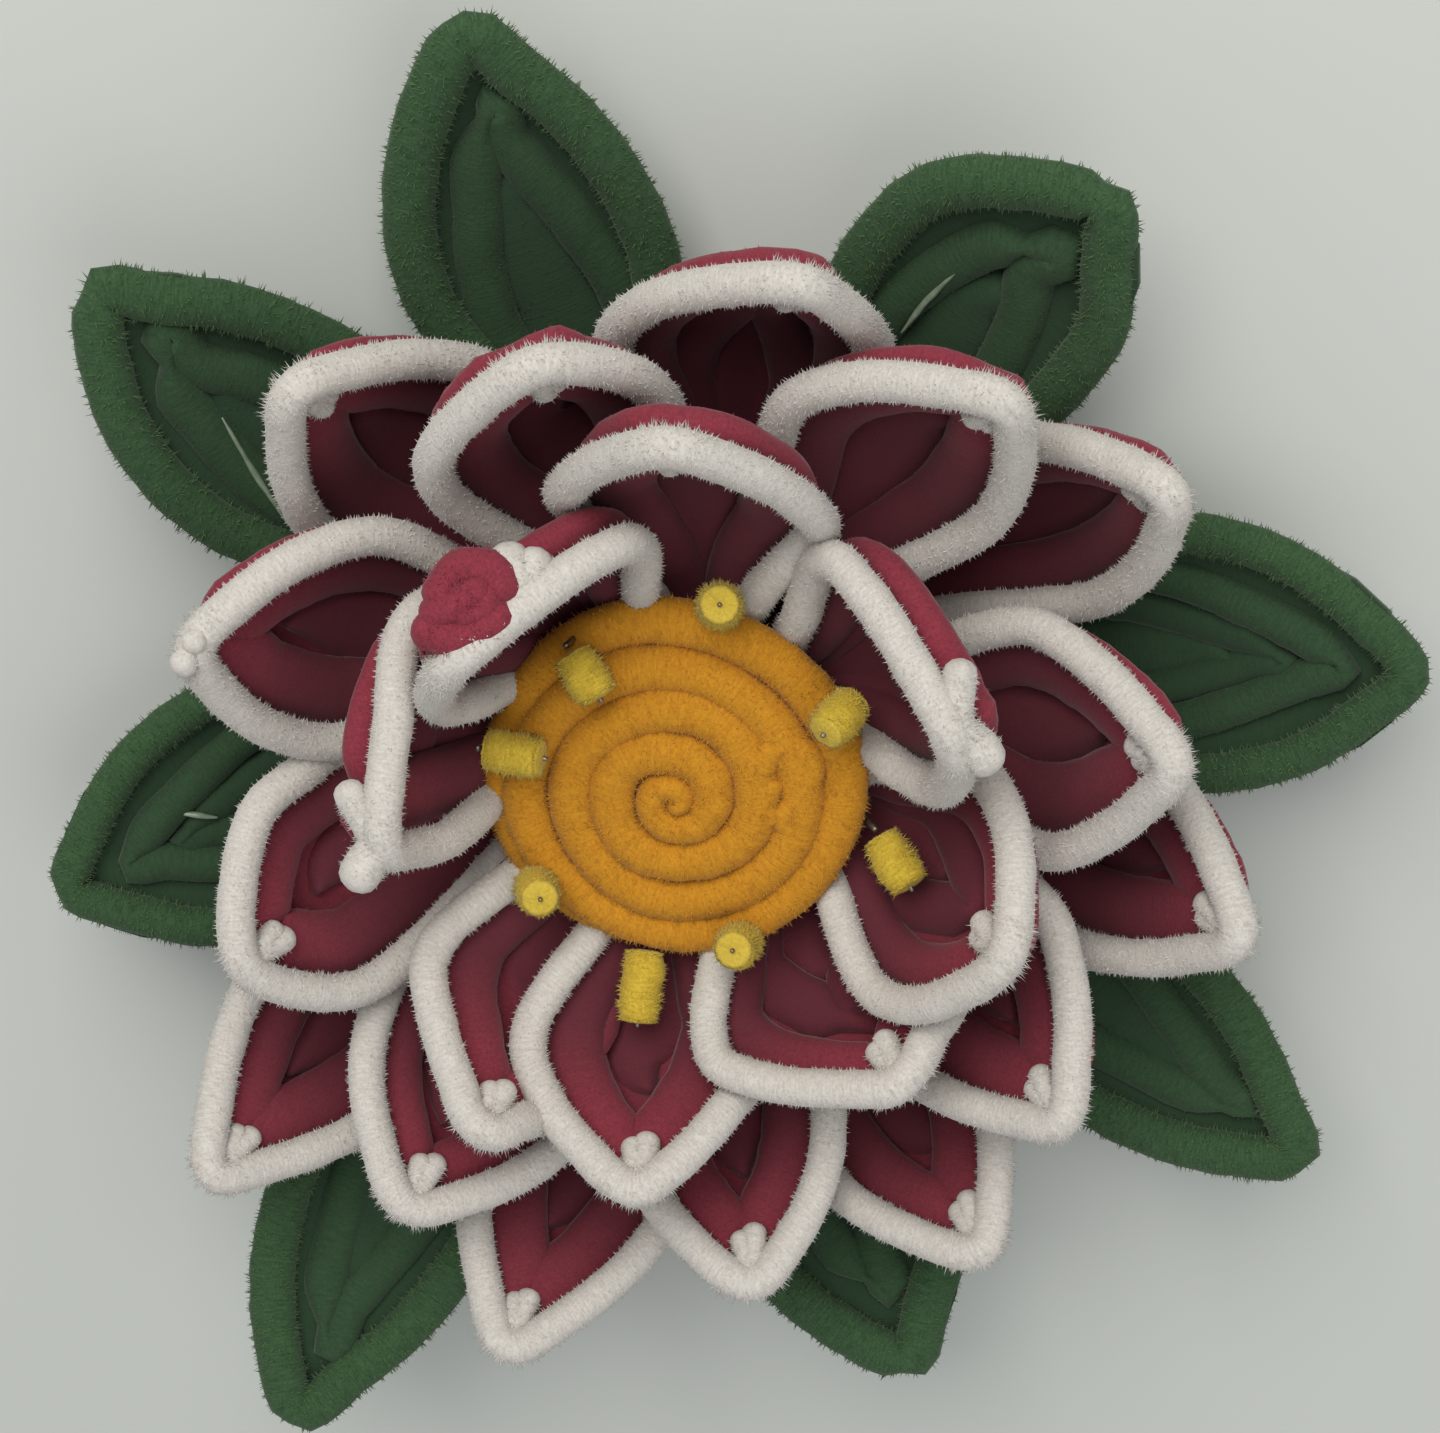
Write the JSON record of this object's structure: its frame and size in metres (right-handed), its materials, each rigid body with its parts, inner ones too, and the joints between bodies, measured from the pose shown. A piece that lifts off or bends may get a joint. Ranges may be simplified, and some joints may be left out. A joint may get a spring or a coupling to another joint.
{
  "type": "chenille stem flower",
  "caption": "Handmade chenille stem flower with a coiled gold centre, lemon stamens, rings of crimson cupped petals with white rims, and green leaves.",
  "frame": {"origin": "middle of the flat underside of the twisted stem tails, on the axis of the coiled centre, where the flower rests when it lies on its back", "axes": "+Z out of the face of the flower through the coiled centre, +Y towards the leaf that points up in the picture, +X to the right of it seen from the front"},
  "size_m": [0.1861, 0.2015, 0.0647],
  "materials": {
    "white_chenille": "cut pile, matt",
    "crimson_chenille": "cut pile, matt",
    "green_chenille": "cut pile, matt",
    "gold_chenille": "cut pile, matt",
    "lemon_chenille": "cut pile, matt",
    "stem_tails": "pressed pile over steel wire, matt"
  },
  "bodies": {
    "root": {"wire_hub": "stem_tails", "flower_centre": "gold_chenille", "stamen_pair_1": "lemon_chenille", "stamen_pair_2": "lemon_chenille", "stamen_pair_3": "lemon_chenille", "stamen_pair_4": "lemon_chenille", "inner_rim_1": "white_chenille", "inner_rim_2": "white_chenille", "inner_rim_3": "white_chenille", "inner_rim_4": "white_chenille", "inner_rim_5": "white_chenille", "inner_rim_6": "white_chenille", "inner_rim_7": "white_chenille", "inner_rim_8": "white_chenille", "inner_petal_1": "crimson_chenille", "inner_petal_2": "crimson_chenille", "inner_petal_3": "crimson_chenille", "inner_petal_4": "crimson_chenille", "inner_petal_5": "crimson_chenille", "inner_petal_6": "crimson_chenille", "inner_petal_7": "crimson_chenille", "inner_petal_8": "crimson_chenille", "middle_rim_1": "white_chenille", "middle_rim_2": "white_chenille", "middle_rim_3": "white_chenille", "middle_rim_4": "white_chenille", "middle_rim_5": "white_chenille", "middle_rim_6": "white_chenille", "middle_rim_7": "white_chenille", "middle_rim_8": "white_chenille", "middle_petal_1": "crimson_chenille", "middle_petal_2": "crimson_chenille", "middle_petal_3": "crimson_chenille", "middle_petal_4": "crimson_chenille", "middle_petal_5": "crimson_chenille", "middle_petal_6": "crimson_chenille", "middle_petal_7": "crimson_chenille", "middle_petal_8": "crimson_chenille", "outer_rim_1": "white_chenille", "outer_rim_2": "white_chenille", "outer_rim_3": "white_chenille", "outer_rim_5": "white_chenille", "outer_rim_6": "white_chenille", "outer_rim_7": "white_chenille", "outer_rim_8": "white_chenille", "outer_petal_1": "crimson_chenille", "outer_petal_2": "crimson_chenille", "outer_petal_3": "crimson_chenille", "outer_petal_5": "crimson_chenille", "outer_petal_6": "crimson_chenille", "outer_petal_7": "crimson_chenille", "outer_petal_8": "crimson_chenille", "leaf_1": "green_chenille", "leaf_2": "green_chenille", "leaf_3": "green_chenille", "leaf_4": "green_chenille", "leaf_5": "green_chenille", "leaf_6": "green_chenille", "leaf_7": "green_chenille", "leaf_8": "green_chenille"}
  },
  "joints": []
}
